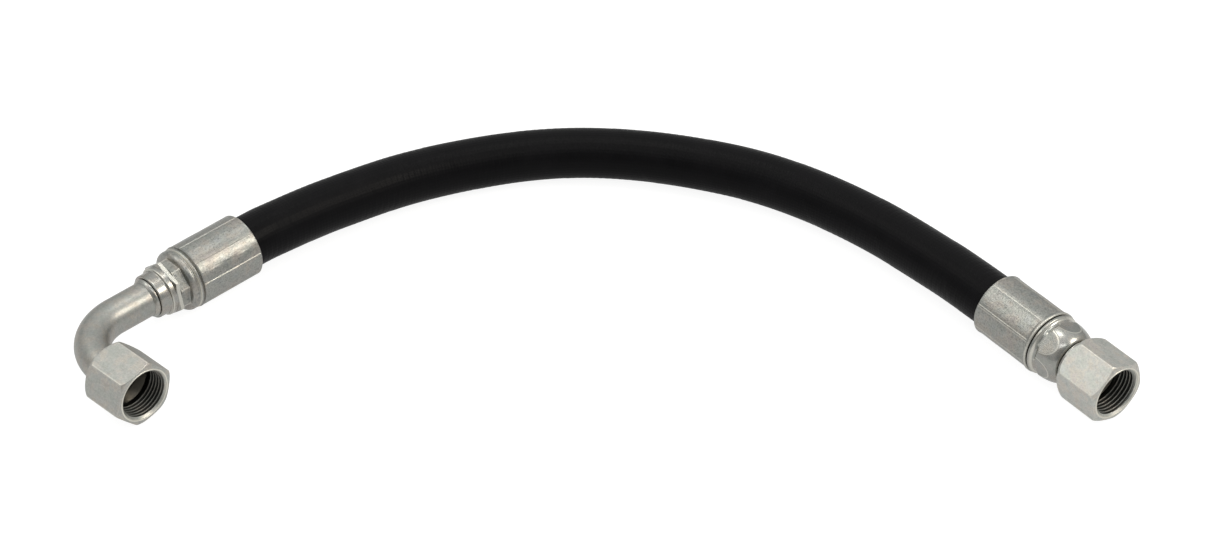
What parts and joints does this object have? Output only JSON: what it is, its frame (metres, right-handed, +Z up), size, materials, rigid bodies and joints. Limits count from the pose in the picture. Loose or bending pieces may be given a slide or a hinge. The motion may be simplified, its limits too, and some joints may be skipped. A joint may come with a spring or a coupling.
{
  "type": "hydraulic hose assembly",
  "caption": "Black braided hydraulic hose in a shallow arc, with a swept 90 degree elbow and a straight fitting crimped on, each ending in a female swivel hexagon nut.",
  "frame": {"origin": "bottom centre of the fittings' box, the hose left out: the table under the middle between the two ends", "axes": "+X from the elbow end to the straight end, +Y towards the top of the hose's arc, +Z up off the table the assembly lies on"},
  "size_m": [0.5392, 0.2333, 0.0358],
  "materials": {
    "cover_rubber": "satin black, cloth-wrapped",
    "tube_rubber": "smooth black",
    "braid_wire": "brass-coated steel wire",
    "plated_steel": "clear zinc plating, satin",
    "plated_nut": "clear zinc plating, satin",
    "braze": "plated-over braze",
    "spring_wire": "drawn wire"
  },
  "bodies": {
    "hose_and_fittings": {"hose_cover": "cover_rubber", "hose_outer_braid": "braid_wire", "hose_separator": "cover_rubber", "hose_inner_braid": "braid_wire", "hose_inner_tube": "tube_rubber", "elbow_ferrule": "plated_steel", "elbow_nipple": "plated_steel", "elbow_tube": "plated_steel", "elbow_tube_braze": "braze", "elbow_seat": "plated_steel", "elbow_seat_braze": "braze", "straight_ferrule": "plated_steel", "straight_nipple": "plated_steel"},
    "elbow_swivel_nut": {"elbow_nut": "plated_nut", "elbow_nut_wire": "spring_wire"},
    "straight_swivel_nut": {"straight_nut": "plated_nut", "straight_nut_wire": "spring_wire"}
  },
  "joints": [
    {"name": "elbow_nut_spin", "type": "hinge", "parent": "hose_and_fittings", "child": "elbow_swivel_nut", "pos_m": [-0.22857, -0.06097, 0.0179], "axis": [0.7266, -0.6871, 0], "continuous": true},
    {"name": "straight_nut_spin", "type": "hinge", "parent": "hose_and_fittings", "child": "straight_swivel_nut", "pos_m": [0.25682, -0.05943, 0.0179], "axis": [0.6004, -0.7997, 0], "continuous": true}
  ]
}
